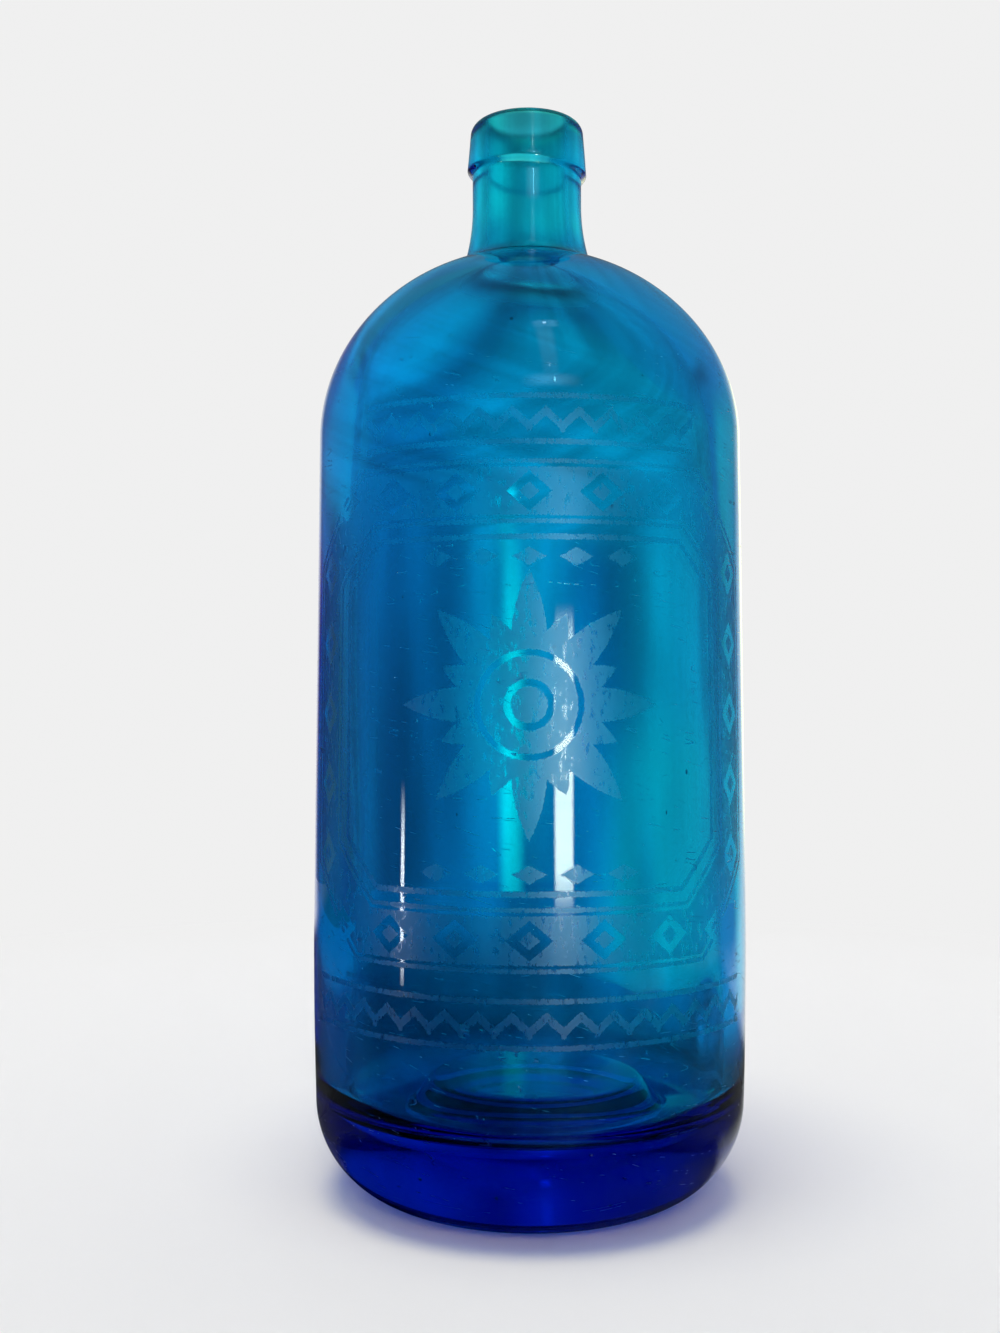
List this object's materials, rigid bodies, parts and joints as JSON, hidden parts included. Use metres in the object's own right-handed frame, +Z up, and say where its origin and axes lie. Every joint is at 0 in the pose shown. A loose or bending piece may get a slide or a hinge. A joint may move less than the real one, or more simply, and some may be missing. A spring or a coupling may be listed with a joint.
{
  "type": "seltzer bottle",
  "caption": "Tall thick-walled glass siphon bottle without its head: domed shoulder, short collared neck, heavy rounded base. Holds carbonated water under a siphon head.",
  "frame": {"origin": "middle of the foot ring, at the height of the surface that the bottle stands on", "axes": "+Z up along the bottle's axis, out of the mouth; -Y is the front with the etched ornament, +X is to its right as seen from the front"},
  "size_m": [0.0984, 0.0984, 0.2443],
  "materials": {
    "blue_glass": "clear turquoise-blue blown glass, glossy, nearly cobalt where it is thick; etched satin ornament on the front, small seeds and hair scratches"
  },
  "bodies": {
    "root": {"glass_bottle": "blue_glass"}
  },
  "joints": []
}
